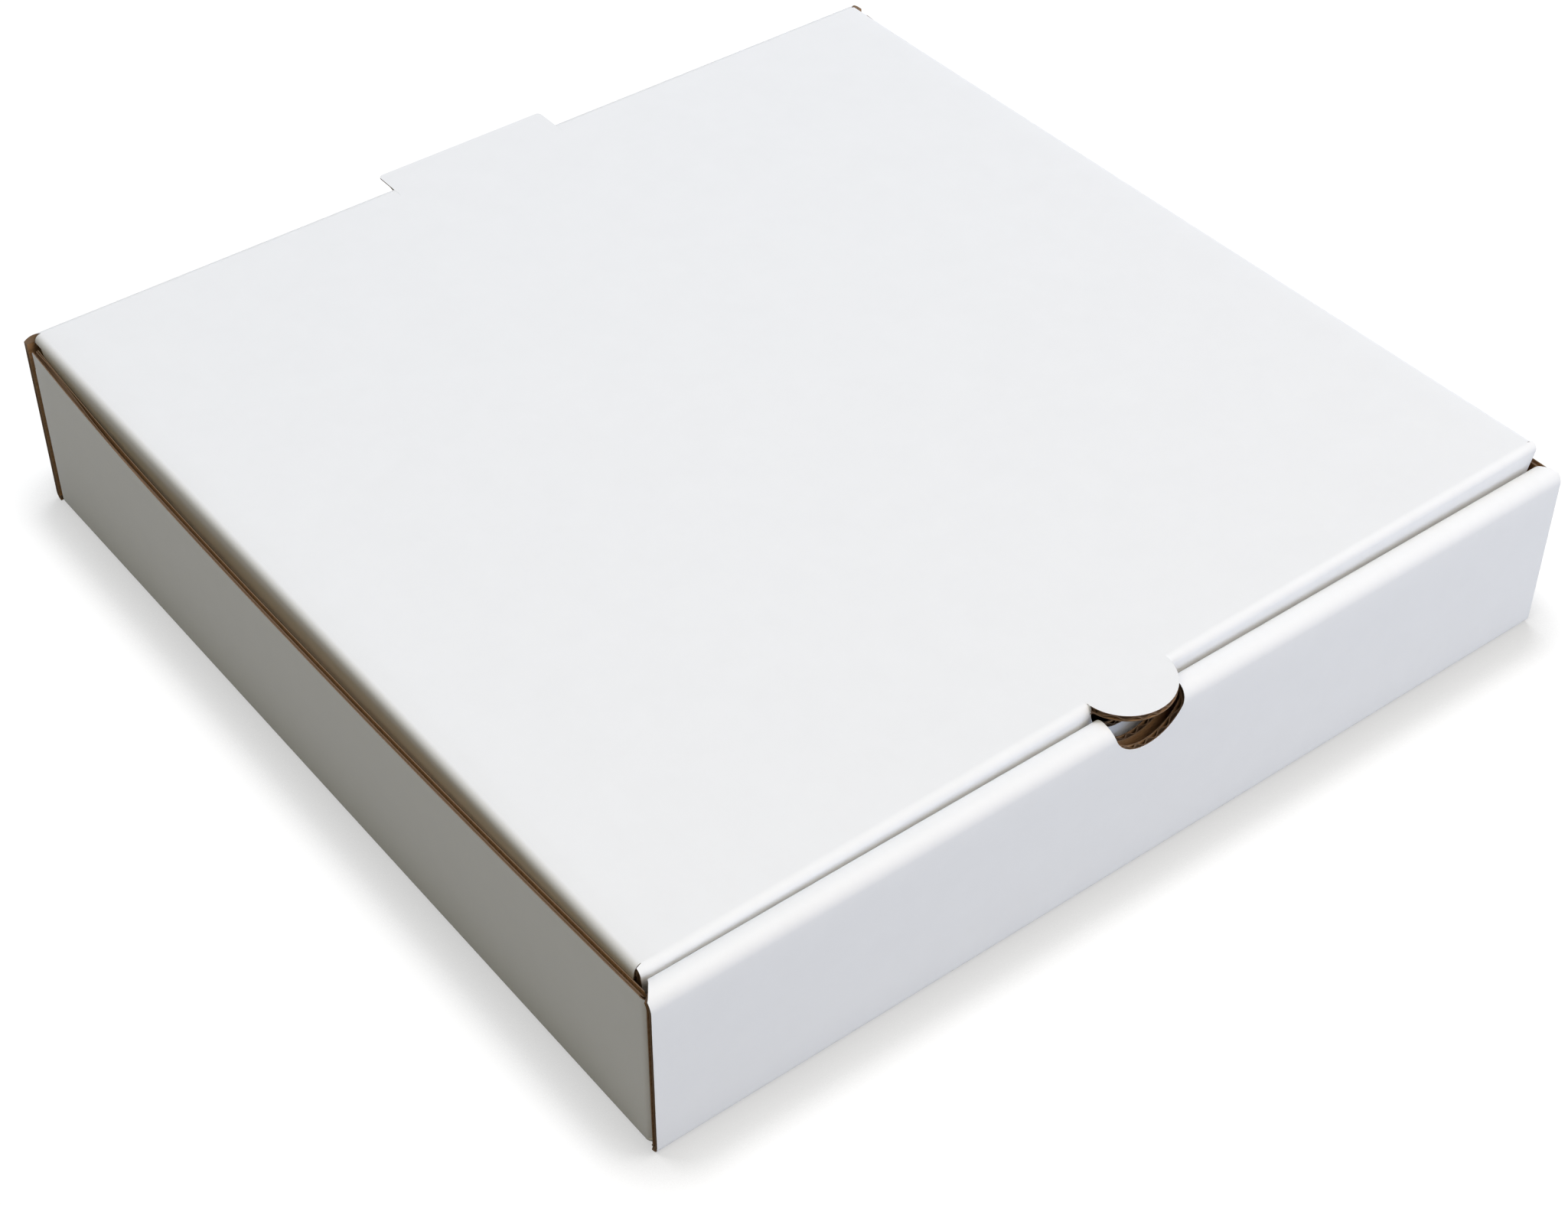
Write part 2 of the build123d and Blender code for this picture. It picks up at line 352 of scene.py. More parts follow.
def fold_tray(tree, sheet, blank):
    """Folds the tray's blank, and lets the side walls bow out between their corners."""
    left_bow, right_bow = 2.0 * mm, 0.6 * mm
    wing_line = (half_width + wall_start + layer) / 2   # between the front wall's end and the next flap
    side_line = base_reach + 0.05 * mm                  # just past the crease of a side wall
    side_end = base_reach - 0.1 * mm                    # just short of the crease of the front or back wall
    parts = add_node(tree, "ShaderNodeSeparateXYZ", {0: blank}).outputs
    aside = add_node(tree, "ShaderNodeMath", {0: parts["X"]}, operation="ABSOLUTE")
    along = add_node(tree, "ShaderNodeMath", {0: parts["Y"]}, operation="ABSOLUTE")
    beside = add_node(
        tree,
        "FunctionNodeCompare",
        {0: along.outputs[0], 1: side_end},
        operation="LESS_THAN",
    )
    line = add_node(
        tree,
        "GeometryNodeSwitch",
        {"Switch": beside.outputs[0], "False": wing_line, "True": side_line},
        input_type="FLOAT",
    )
    wing = add_node(
        tree, "FunctionNodeCompare", {0: aside.outputs[0], 1: line.outputs[0]}, operation="GREATER_THAN"
    ).outputs[0]
    between = add_node(
        tree,
        "FunctionNodeCompare",
        {0: along.outputs[0], 1: (corner_reach + base_reach) / 2},
        operation="LESS_THAN",
    ).outputs[0]
    spine = add_node(tree, "FunctionNodeBooleanMath", {0: wing}, operation="NOT").outputs[0]
    side = add_node(tree, "FunctionNodeBooleanMath", {0: wing, 1: between}, operation="OR").outputs[0]
    right_angle = math.pi / 2
    middle = board / 2
    front, back, left, right = (0, -1, 0), (0, 1, 0), (-1, 0, 0), (1, 0, 0)
    sheet = fold_up(
        tree,
        sheet,
        blank,
        [
            (spine, front, strip_end, right_angle, bend, middle),
            (spine, front, strip_start, right_angle, roll_bend, middle),
            (spine, front, base_reach, right_angle, bend, middle),
            (spine, back, base_reach, right_angle, bend, middle),
            (wing, front, corner_reach, right_angle, bend, middle),
            (wing, back, corner_reach, right_angle, bend, middle),
            (side, left, base_reach, right_angle, bend, middle),
            (side, right, base_reach, right_angle, bend, middle),
        ],
    )
    share = add_node(tree, "ShaderNodeMath", {0: along.outputs[0], 1: corner_reach}, operation="DIVIDE")
    square = add_node(tree, "ShaderNodeMath", {0: share.outputs[0], 1: 2.0}, operation="POWER")
    span = add_node(
        tree, "ShaderNodeMath", {0: 1.0, 1: square.outputs[0]}, operation="SUBTRACT", use_clamp=True
    )
    rise = add_node(
        tree,
        "ShaderNodeMapRange",
        {"Value": aside.outputs[0], "From Min": base_reach, "From Max": wall_start + side_height},
        interpolation_type="SMOOTHSTEP",
    )
    amount = add_node(
        tree, "ShaderNodeMath", {0: span.outputs[0], 1: rise.outputs[0]}, operation="MULTIPLY"
    )
    outwards = add_node(
        tree,
        "ShaderNodeMapRange",
        {
            "Value": parts["X"],
            "From Min": -base_reach,
            "From Max": base_reach,
            "To Min": -left_bow,
            "To Max": right_bow,
        },
    )
    reach = add_node(
        tree, "ShaderNodeMath", {0: amount.outputs[0], 1: outwards.outputs[0]}, operation="MULTIPLY"
    )
    shift = add_node(tree, "ShaderNodeCombineXYZ", {"X": reach.outputs[0]})
    bowed = add_node(
        tree, "GeometryNodeSetPosition", {"Geometry": sheet, "Selection": side, "Offset": shift.outputs[0]}
    )
    return bowed.outputs[0]


def linear(hex_colour):
    """An sRGB hex colour as linear RGBA."""
    parts = [int(hex_colour[i : i + 2], 16) / 255 for i in (1, 3, 5)]
    return (*[p / 12.92 if p <= 0.04045 else ((p + 0.055) / 1.055) ** 2.4 for p in parts], 1.0)


flute_pitch = 3.3 * mm


def washboard(tree, place):
    """The waves of the fluting across the blank, from -1 to 1. They show faintly through a paper."""
    parts = add_node(tree, "ShaderNodeSeparateXYZ", {0: place})
    turns = add_node(
        tree, "ShaderNodeMath", {0: parts.outputs["X"], 1: 2 * math.pi / flute_pitch}, operation="MULTIPLY"
    )
    wave = add_node(tree, "ShaderNodeMath", {0: turns.outputs[0]}, operation="SINE")
    return wave.outputs[0]


def new_paper(name):
    """An empty material for a paper, with its tree, its shader and the place in the flat blank."""
    material = bpy.data.materials.new(name)
    material.use_nodes = True
    tree = material.node_tree
    blank = add_node(tree, "ShaderNodeAttribute", attribute_name="blank").outputs["Vector"]
    return material, tree, tree.nodes["Principled BSDF"], blank


def clay_coated_liner():
    """White-top liner with a thin clay coat, calendered: an even, faintly cool white with a soft
    sheen, slight clouds where the fibres lie unevenly, and a hint of the flutes underneath."""
    cloud_size, grain_size = 9 * mm, 0.7 * mm
    ridge_height, grain_height = 0.003 * mm, 0.02 * mm
    material, tree, shader, blank = new_paper("clay_coated_white_liner")
    clouds = add_node(
        tree,
        "ShaderNodeTexNoise",
        {"Vector": blank, "Scale": 1 / cloud_size, "Detail": 4.0, "Roughness": 0.6},
    )
    colour = add_node(
        tree,
        "ShaderNodeMix",
        {0: clouds.outputs[0], 6: linear("#EDEEEF"), 7: linear("#F1F2F3")},
        data_type="RGBA",
    )
    grain = add_node(
        tree,
        "ShaderNodeTexNoise",
        {"Vector": blank, "Scale": 1 / grain_size, "Detail": 3.0, "Roughness": 0.65},
    )
    gloss = add_node(
        tree, "ShaderNodeMapRange", {"Value": grain.outputs[0], "To Min": 0.56, "To Max": 0.70}
    )
    ridges = add_node(
        tree, "ShaderNodeBump", {"Strength": 1.0, "Distance": ridge_height, "Height": washboard(tree, blank)}
    )
    bump = add_node(
        tree,
        "ShaderNodeBump",
        {
            "Strength": 0.5,
            "Distance": grain_height,
            "Height": grain.outputs[0],
            "Normal": ridges.outputs[0],
        },
    )
    tree.links.new(colour.outputs[2], shader.inputs["Base Color"])
    tree.links.new(gloss.outputs[0], shader.inputs["Roughness"])
    tree.links.new(bump.outputs[0], shader.inputs["Normal"])
    shader.inputs["IOR"].default_value = 1.5
    return material


def kraft_liner():
    """Unbleached kraft paper, uncoated: warm brown and matt, with lighter and darker fibres that lie
    across the flutes and the ridges of the fluting pressed through."""
    fibre_width, cloud_size = 0.8 * mm, 14 * mm
    fibre_draw = 0.25                 # fibres are this many times as wide as they are long
    ridge_height, fibre_height = 0.02 * mm, 0.05 * mm
    material, tree, shader, blank = new_paper("unbleached_kraft_liner")
    drawn = add_node(tree, "ShaderNodeMapping", {"Vector": blank, "Scale": (fibre_draw, 1, 1)})
    fibres = add_node(
        tree,
        "ShaderNodeTexNoise",
        {"Vector": drawn.outputs[0], "Scale": 1 / fibre_width, "Detail": 5.0, "Roughness": 0.7},
    )
    clouds = add_node(
        tree,
        "ShaderNodeTexNoise",
        {"Vector": blank, "Scale": 1 / cloud_size, "Detail": 3.0, "Roughness": 0.55},
    )
    body = add_node(
        tree,
        "ShaderNodeMix",
        {0: clouds.outputs[0], 6: linear("#A8815A"), 7: linear("#BA9369")},
        data_type="RGBA",
    )
    flecks = add_node(
        tree, "ShaderNodeMapRange", {"Value": fibres.outputs[0], "From Min": 0.35, "From Max": 0.7}
    )
    colour = add_node(
        tree,
        "ShaderNodeMix",
        {0: flecks.outputs[0], 6: linear("#8F6A45"), 7: body.outputs[2]},
        data_type="RGBA",
    )
    ridges = add_node(
        tree, "ShaderNodeBump", {"Strength": 1.0, "Distance": ridge_height, "Height": washboard(tree, blank)}
    )
    bump = add_node(
        tree,
        "ShaderNodeBump",
        {
            "Strength": 0.6,
            "Distance": fibre_height,
            "Height": fibres.outputs[0],
            "Normal": ridges.outputs[0],
        },
    )
    tree.links.new(colour.outputs[2], shader.inputs["Base Color"])
    tree.links.new(bump.outputs[0], shader.inputs["Normal"])
    shader.inputs["Roughness"].default_value = 0.82
    shader.inputs["IOR"].default_value = 1.5
    return material


def cut_edge_with_painted_shade():
    """Die-cut edge of the papers: torn brown fibres, crushed by the knife. It is darker than the faces
    partly for the crushed fibres and partly as painted shade of the flutes' hollows and of edges that lie in
    shade.
    """
    fibre_width = 0.5 * mm
    material, tree, shader, blank = new_paper("die_cut_edge_with_painted_shade")
    fibres = add_node(
        tree,
        "ShaderNodeTexNoise",
        {"Vector": blank, "Scale": 1 / fibre_width, "Detail": 3.0, "Roughness": 0.7},
    )
    # These browns are partly the crushed fibres' own colour and partly painted shade.
    colour = add_node(
        tree,
        "ShaderNodeMix",
        {0: fibres.outputs[0], 6: linear("#62503F"), 7: linear("#83694F")},
        data_type="RGBA",
    )
    tree.links.new(colour.outputs[2], shader.inputs["Base Color"])
    shader.inputs["Roughness"].default_value = 0.9
    return material


white_paper = clay_coated_liner()
kraft_paper = kraft_liner()
board_papers = [white_paper, kraft_paper, cut_edge_with_painted_shade()]


def shaped(made, tree, finishes, thickness=0.0):
    """Runs the tree on the object and leaves its result as a plain mesh, with its papers' finishes.
    A bare surface gets a thickness."""
    for finish in finishes:
        made.data.materials.append(finish)
    made.modifiers.new("shape", "NODES").node_group = tree
    if thickness:
        thick = made.modifiers.new("thickness", "SOLIDIFY")
        thick.thickness = thickness
        thick.offset = 0.0
    bpy.context.view_layer.update()
    mesh = bpy.data.meshes.new_from_object(made.evaluated_get(bpy.context.evaluated_depsgraph_get()))
    made.modifiers.clear()
    made.data = mesh
    mesh.name = made.name
    mesh.shade_smooth()
    mesh.set_sharp_from_angle(angle=math.radians(40))
    return made


cell = 6.0 * mm                      # of the grid on flat board
crease_steps = 6


def bent(start):
    """Grid lines through a right-angled crease."""
    return list(np.linspace(start, start + quarter, crease_steps + 1))


def grid_lines(places):
    """Grid lines in order, without those that all but meet another."""
    closest = 0.1 * mm
    lines = []
    for place in sorted(places):
        if not lines or place - lines[-1] > closest:
            lines.append(place)
    return lines


panel_half = half_width - panel_inset
rise_steps = 5
rear_slope = [
    (wall_start + side_height + rear_rise * (k / rise_steps) ** 2, place)
    for k, place in enumerate(np.linspace(rise_start, corner_reach, rise_steps + 1))
]
tray_outline = both_sides(
    [
        (lock_tab_place - lock_tab_width / 2, -panel_end),
        (lock_tab_place - lock_tab_width / 2, -panel_end - lock_tab_drop),
        (lock_tab_place + lock_tab_width / 2, -panel_end - lock_tab_drop),
        (lock_tab_place + lock_tab_width / 2, -panel_end),
        (panel_half, -panel_end),
        (panel_half, -panel_start),
        (half_width, -(strip_start + strip_flat) / 2),
        (half_width, -base_reach),
        (base_reach, -base_reach),
        (base_reach, -corner_reach),
        (wall_start + layer, -corner_reach - quarter),
        (wall_start + layer, -(flap_start + front_flap), flap_corner),
        (wall_start + flap_top, -(flap_start + front_flap), flap_corner),
        (wall_start + flap_top, -corner_reach - quarter),
        (wall_start + side_height, -corner_reach),
        *rear_slope,
        (wall_start + flap_top, corner_reach + quarter),
        (wall_start + flap_top, flap_start + rear_flap, flap_corner),
        (wall_start + layer, flap_start + rear_flap, flap_corner),
        (wall_start + layer, corner_reach + quarter),
        (base_reach, corner_reach),
        (base_reach, base_reach),
        (half_width, base_reach),
        (half_width, wall_start + crease_top),
        (rear_cut_half, wall_start + crease_top),
        (rear_cut_half, wall_start + rear_cut_low),
    ]
)
notch_steps = 28
notch = arc((0, -strip_flat), notch_radius, 0, 180, notch_steps)
notch += arc((0, -strip_end), notch_radius, 180, 360, notch_steps)
slot_half = lock_tab_width / 2 + slot_gap
slot_front = -half_depth + front_stack - board - slot_gap
slot_back = slot_front + board + 2 * slot_gap
slots = [
    [
        Vector((side * lock_tab_place + x * slot_half, y))
        for x, y in ((-1, slot_front), (1, slot_front), (1, slot_back), (-1, slot_back))
    ]
    for side in (-1, 1)
]
tray_loops = [tray_outline, notch, *slots]

mitre_cell = 0.8 * mm                # closer lines, for the slanted ends of the top strip
mitre_start = panel_half - 2 * mm
roll_cell = 0.5 * mm                 # closer lines, for the bend into the top strip
side_lines = (
    even(0, mitre_start, cell)
    + even(mitre_start, base_reach, mitre_cell)
    + bent(base_reach)
    + even(base_reach + quarter, wall_start + side_height + rear_rise, cell)
)
tray_lines_x = grid_lines(s * x for x in side_lines for s in (-1, 1))
ahead_lines = (
    bent(corner_reach)
    + bent(base_reach)
    + even(base_reach + quarter, strip_start, cell)
    + even(strip_start, strip_flat, roll_cell)
    + bent(strip_end)
    + even(panel_start, panel_end, cell)
)
behind_lines = (
    bent(corner_reach) + bent(base_reach) + even(base_reach + quarter, flap_start + rear_flap, cell)
)
tray_lines_y = grid_lines(
    [-y for y in ahead_lines] + even(-corner_reach, corner_reach, cell) + behind_lines
)
tray_papers = [(0.0, liner), (board - liner, board)]
tray_sheet = flat_board("tray_board", tray_loops, tray_lines_x, tray_lines_y, tray_papers, 0.0)
tree, sheet = new_tree("tray_folds")
sheet, blank = keep_blank(tree, sheet)
add_node(tree, "NodeGroupOutput", {"Sheet": fold_tray(tree, sheet, blank)})
shaped(tray_sheet, tree, board_papers)
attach(tray_sheet, "tray")
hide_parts("tray")

# Fluting of the tray: the wavy middle paper of the board, which shows wherever the board is cut.
# Brown recycled paper, run hot between toothed rolls, so its waves all lie front to back in the
# blank. Only the band along the cut edges is made, because the papers hide the rest.
medium = 0.18 * mm                    # thickness of the wavy paper
flute_depth = 3.6 * mm                # how far the band reaches in from a cut edge
flute_rows = 6                        # across the band
flute_step = flute_pitch / 6          # along it


def cut_edges(name, loops):
    """The outline of a blank as a wire in even steps, with the way into the board at each point."""
    probe = 0.02 * mm                 # a step this long tells which side of the wire is board
    points, edges, ways = [], [], []
    for loop in loops:
        corners = np.array([*loop, loop[0]], float)
        run = np.concatenate([[0.0], np.cumsum(np.linalg.norm(np.diff(corners, axis=0), axis=1))])
        stops = np.linspace(0, run[-1], math.ceil(run[-1] / flute_step) + 1)[:-1]
        wire = np.stack([np.interp(stops, run, corners[:, i]) for i in (0, 1)], axis=1)
        along = np.roll(wire, -1, axis=0) - np.roll(wire, 1, axis=0)
        way = np.stack([-along[:, 1], along[:, 0]], axis=1) / np.linalg.norm(along, axis=1)[:, None]
        way[~inside(wire + way * probe, loops)] *= -1
        first, count = len(points), len(wire)
        points += [(x, y, 0.0) for x, y in wire]
        edges += [(first + i, first + (i + 1) % count) for i in range(count)]
        ways += [(x, y, 0.0) for x, y in way]
    mesh = bpy.data.meshes.new(name)
    mesh.from_pydata(points, edges, [])
    mesh.attributes.new("inwards", "FLOAT_VECTOR", "POINT").data.foreach_set("vector", np.ravel(ways))
    made = bpy.data.objects.new(name, mesh)
    bpy.context.scene.collection.objects.link(made)
    return made


def flute_band(tree, wire, middle, rear_end):
    """A band of wavy paper along the wire as far as rear_end, grown inwards row by row at the board's
    middle."""
    place = add_node(tree, "GeometryNodeInputPosition")
    parts = add_node(tree, "ShaderNodeSeparateXYZ", {0: place.outputs[0]})
    past = add_node(
        tree, "FunctionNodeCompare", {0: parts.outputs["Y"], 1: rear_end}, operation="GREATER_THAN"
    )
    kept = add_node(tree, "GeometryNodeDeleteGeometry", {"Geometry": wire, "Selection": past.outputs[0]})
    way = add_node(tree, "GeometryNodeInputNamedAttribute", {"Name": "inwards"}, data_type="FLOAT_VECTOR")
    row = add_node(
        tree,
        "ShaderNodeVectorMath",
        {0: way.outputs[0], "Scale": flute_depth / flute_rows},
        operation="SCALE",
    )
    band, edge = kept.outputs[0], True
    for _ in range(flute_rows):
        grown = add_node(
            tree,
            "GeometryNodeExtrudeMesh",
            {"Mesh": band, "Selection": edge, "Offset": row.outputs[0], "Offset Scale": 1.0},
            mode="EDGES",
        )
        band, edge = grown.outputs["Mesh"], grown.outputs["Top"]
    here = add_node(tree, "GeometryNodeInputPosition")
    height = add_node(
        tree,
        "ShaderNodeMath",
        {0: washboard(tree, here.outputs[0]), 1: board / 2 - liner - medium / 2, 2: middle},
        operation="MULTIPLY_ADD",
    )
    lift = add_node(tree, "ShaderNodeCombineXYZ", {"Z": height.outputs[0]})
    waved = add_node(tree, "GeometryNodeSetPosition", {"Geometry": band, "Offset": lift.outputs[0]})
    return waved.outputs[0]


def fluting_paper():
    """Recycled fluting paper, uncoated: a darker, greyer brown than the kraft, matt and fibrous."""
    fibre_width = 0.6 * mm
    material, tree, shader, blank = new_paper("recycled_fluting_paper")
    fibres = add_node(
        tree,
        "ShaderNodeTexNoise",
        {"Vector": blank, "Scale": 1 / fibre_width, "Detail": 4.0, "Roughness": 0.7},
    )
    colour = add_node(
        tree,
        "ShaderNodeMix",
        {0: fibres.outputs[0], 6: linear("#66513B"), 7: linear("#836850")},
        data_type="RGBA",
    )
    tree.links.new(colour.outputs[2], shader.inputs["Base Color"])
    shader.inputs["Roughness"].default_value = 0.88
    return material


brown_paper = fluting_paper()


def fluting(name, loops, middle, folds, rear_end):
    """The wavy paper along a blank's cut edges, folded with it and given its thickness. Behind rear_end
    the board is crushed shut."""
    made = cut_edges(name, loops)
    tree, wire = new_tree(name + "_folds")
    sheet, blank = keep_blank(tree, flute_band(tree, wire, middle, rear_end))
    realized = add_node(tree, "GeometryNodeRealizeInstances", {"Geometry": folds(tree, sheet, blank)})
    finished = add_node(
        tree, "GeometryNodeSetMaterial", {"Geometry": realized.outputs[0], "Material": brown_paper}
    )
    add_node(tree, "NodeGroupOutput", {"Sheet": finished.outputs[0]})
    return shaped(made, tree, [], medium)


tray_fluting = fluting("tray_fluting", tray_loops, board / 2, fold_tray, wall_start + crease_top + board)
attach(tray_fluting, "tray")

# Lid: the top panel with a side flap at each side, a tuck flap at the front that goes down inside
# the front wall, a half-round thumb tab cut from it and a rear tab cut from the back wall. The same
# sheet of board, folded down along its creases.
lid_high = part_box("lid")[1]
lid_top = lid_high.z
lid_middle = lid_top - board / 2
lid_half = lid_high.x
side_crease = lid_half - fold
side_flap_drop = 34.0 * mm            # lid top to the lower edge of a side flap
rear_stretch = 5.0 * mm               # the side flaps stop this far from the back wall's face
slit = 0.06 * mm                      # width of the cuts that part the flaps
front_taper = math.radians(12)        # of the side flaps' ends
rear_taper = math.radians(25)
lid_front = -half_depth + front_stack + layer_gap
thumb_setback = 0.3 * mm              # of the thumb tab's root, behind the crease
thumb_root = lid_front + fold + thumb_setback
thumb_radius = 11.4 * mm
thumb_cut = 0.3 * mm                  # width of the cut under the thumb tab, which closes towards its ends
tuck_drop = 38.0 * mm
tuck_inset = 0.5 * mm                 # the tuck flap is this much shorter than the lid at each end
tuck_taper = math.radians(8)
tuck_lean = math.radians(6)
tuck_turn = math.pi / 2 + tuck_lean
tuck_crease = -(lid_front + board / 2 + bend * math.tan(tuck_turn / 2))
tuck_start = tuck_crease + bend * tuck_turn
tuck_end = tuck_start + (tuck_drop - board / 2) / math.cos(tuck_lean) - bend * math.tan(tuck_turn / 2)
tuck_half = lid_half - tuck_inset
tuck_foot = tuck_half - (tuck_drop - fold) * math.tan(tuck_taper)
tuck_corner = 12.0 * mm
crease_rear = 124.5 * mm              # the rear crease takes over from the lid here
rear_tab_half = 25.0 * mm
rear_tab_corner = 1.2 * mm
flap_fall = side_flap_drop - fold
flap_end = side_crease + quarter + flap_fall
flap_room = 0.1 * mm                  # the side flaps end this far behind the tuck flap
flap_front = lid_front + board + flap_room
flap_rear = half_depth - rear_stretch
corner_slope = (-flap_front - tuck_crease) / quarter   # of the cut between a side flap and the tuck flap


def fold_lid(tree, sheet, blank):
    """Folds the lid's blank, and twists it a little, as a hand-closed lid lies. The rear tab is
    crushed thin by the die."""
    right_rise, left_drop = 1.5 * mm, 2.9 * mm   # of the front corners
    swell_power = 1.5                 # the twist grows faster than the distance from the rear crease
    tab_thickness = 0.2               # share of the board's thickness that the rear tab keeps
    parts = add_node(tree, "ShaderNodeSeparateXYZ", {0: blank}).outputs
    squash = thumb_radius / (thumb_radius + thumb_cut / 2)
    level = add_node(tree, "ShaderNodeVectorMath", {0: blank, 1: (1, squash, 0)}, operation="MULTIPLY")
    from_thumb = add_node(
        tree,
        "ShaderNodeVectorMath",
        {0: level.outputs[0], 1: (0, thumb_root * squash, 0)},
        operation="DISTANCE",
    )
    past_thumb = add_node(
        tree,
        "FunctionNodeCompare",
        {0: from_thumb.outputs["Value"], 1: thumb_radius},
        operation="GREATER_THAN",
    )
    aside = add_node(tree, "ShaderNodeMath", {0: parts["X"]}, operation="ABSOLUTE")
    past_side = add_node(
        tree, "ShaderNodeMath", {0: aside.outputs[0], 1: side_crease}, operation="SUBTRACT"
    )
    beside = add_node(tree, "ShaderNodeMath", {0: past_side.outputs[0], 1: 0.0}, operation="MAXIMUM")
    place = add_node(
        tree,
        "ShaderNodeMath",
        {0: beside.outputs[0], 1: corner_slope, 2: parts["Y"]},
        operation="MULTIPLY_ADD",
    )
    past_crease = add_node(
        tree,
        "FunctionNodeCompare",
        {0: place.outputs[0], 1: -tuck_crease - slit / 2},
        operation="LESS_THAN",
    )
    tuck = add_node(
        tree,
        "FunctionNodeBooleanMath",
        {0: past_thumb.outputs[0], 1: past_crease.outputs[0]},
        operation="AND",
    ).outputs[0]
    behind = add_node(tree, "FunctionNodeBooleanMath", {0: tuck}, operation="NOT").outputs[0]
    tab = add_node(
        tree, "FunctionNodeCompare", {0: parts["Y"], 1: half_depth - fold}, operation="GREATER_THAN"
    )
    depth = add_node(tree, "ShaderNodeMath", {0: lid_top, 1: parts["Z"]}, operation="SUBTRACT")
    raised = add_node(
        tree, "ShaderNodeMath", {0: depth.outputs[0], 1: 1 - tab_thickness}, operation="MULTIPLY"
    )
    upwards = add_node(tree, "ShaderNodeCombineXYZ", {"Z": raised.outputs[0]})
    sheet = add_node(
        tree,
        "GeometryNodeSetPosition",
        {"Geometry": sheet, "Selection": tab.outputs[0], "Offset": upwards.outputs[0]},
    ).outputs[0]
    right_angle = math.pi / 2
    sheet = fold_up(
        tree,
        sheet,
        blank,
        [
            (tuck, (0, -1, 0), tuck_crease, tuck_turn, -bend, lid_middle),
            (behind, (-1, 0, 0), side_crease, right_angle, -bend, lid_middle),
            (behind, (1, 0, 0), side_crease, right_angle, -bend, lid_middle),
        ],
    )
    here = add_node(tree, "GeometryNodeInputPosition")
    now = add_node(tree, "ShaderNodeSeparateXYZ", {0: here.outputs[0]}).outputs
    forward = add_node(
        tree,
        "ShaderNodeMapRange",
        {"Value": now["Y"], "From Min": crease_rear, "From Max": lid_front},
        interpolation_type="LINEAR",
    )
    swell = add_node(tree, "ShaderNodeMath", {0: forward.outputs[0], 1: swell_power}, operation="POWER")
    tilt = add_node(
        tree,
        "ShaderNodeMapRange",
        {
            "Value": now["X"],
            "From Min": -lid_half,
            "From Max": lid_half,
            "To Min": -left_drop,
            "To Max": right_rise,
        },
        clamp=False,
    )
    lift = add_node(
        tree, "ShaderNodeMath", {0: swell.outputs[0], 1: tilt.outputs[0]}, operation="MULTIPLY"
    )
    shift = add_node(tree, "ShaderNodeCombineXYZ", {"Z": lift.outputs[0]})
    twisted = add_node(tree, "GeometryNodeSetPosition", {"Geometry": sheet, "Offset": shift.outputs[0]})
    return twisted.outputs[0]


lid_outline = both_sides(
    [
        (tuck_foot, -tuck_end, tuck_corner),
        (tuck_half, -tuck_start),
        (tuck_half, -tuck_crease - slit - corner_slope * (tuck_half - side_crease)),
        (side_crease, -tuck_crease - slit),
        (side_crease, -tuck_crease),
        (side_crease + quarter, flap_front),
        (flap_end, flap_front + flap_fall * math.tan(front_taper), flap_corner),
        (flap_end, flap_rear - flap_fall * math.tan(rear_taper), flap_corner),
        (side_crease + quarter, flap_rear),
        (side_crease + quarter, crease_rear),
        (rear_tab_half, crease_rear),
        (rear_tab_half, lid_high.y, rear_tab_corner),
    ]
)
thumb_steps = 40
thumb_edge = arc((0, thumb_root), thumb_radius, 180, 360, thumb_steps)
thumb_hole = [p - Vector((0, thumb_cut * (thumb_root - p.y) / thumb_radius)) for p in thumb_edge]
thumb_slit = thumb_hole + thumb_edge[-2:0:-1]
lid_loops = [lid_outline, thumb_slit]
lid_side_lines = (
    even(0, side_crease, cell) + bent(side_crease) + even(side_crease + quarter, flap_end, cell)
)
lid_lines_x = grid_lines(s * x for x in lid_side_lines for s in (-1, 1))
tuck_lines = list(np.linspace(tuck_crease, tuck_start, crease_steps + 1))
tuck_lines += even(tuck_start, tuck_end, cell)
lid_lines_y = grid_lines(
    [-y for y in tuck_lines] + even(thumb_root, flap_rear, cell) + even(crease_rear, lid_high.y, cell)
)
lid_papers = [(lid_top - liner, lid_top), (lid_top - board, lid_top - board + liner)]
lid_sheet = flat_board("lid_board", lid_loops, lid_lines_x, lid_lines_y, lid_papers, lid_top)


def wrap_edges(made, start, end):
    """White cut edges between two places along the blank, where the coat is pressed round the edge."""
    white, cut = 0, 2                 # places in board_papers
    for face in made.data.polygons:
        if face.material_index == cut and start < face.center.y < end:
            face.material_index = white


past_tab = lid_high.y + 1 * mm
wrap_edges(lid_sheet, flap_rear, past_tab)
tree, sheet = new_tree("lid_folds")
sheet, blank = keep_blank(tree, sheet)
add_node(tree, "NodeGroupOutput", {"Sheet": fold_lid(tree, sheet, blank)})
shaped(lid_sheet, tree, board_papers)
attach(lid_sheet, "lid")
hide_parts("lid")

# Fluting of the lid: the same wavy brown paper between the lid's two papers, along its cut edges. It
# stops at the rear crease, where the board is crushed shut.
lid_fluting = fluting("lid_fluting", lid_loops, lid_middle, fold_lid, flap_rear)
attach(lid_fluting, "lid")
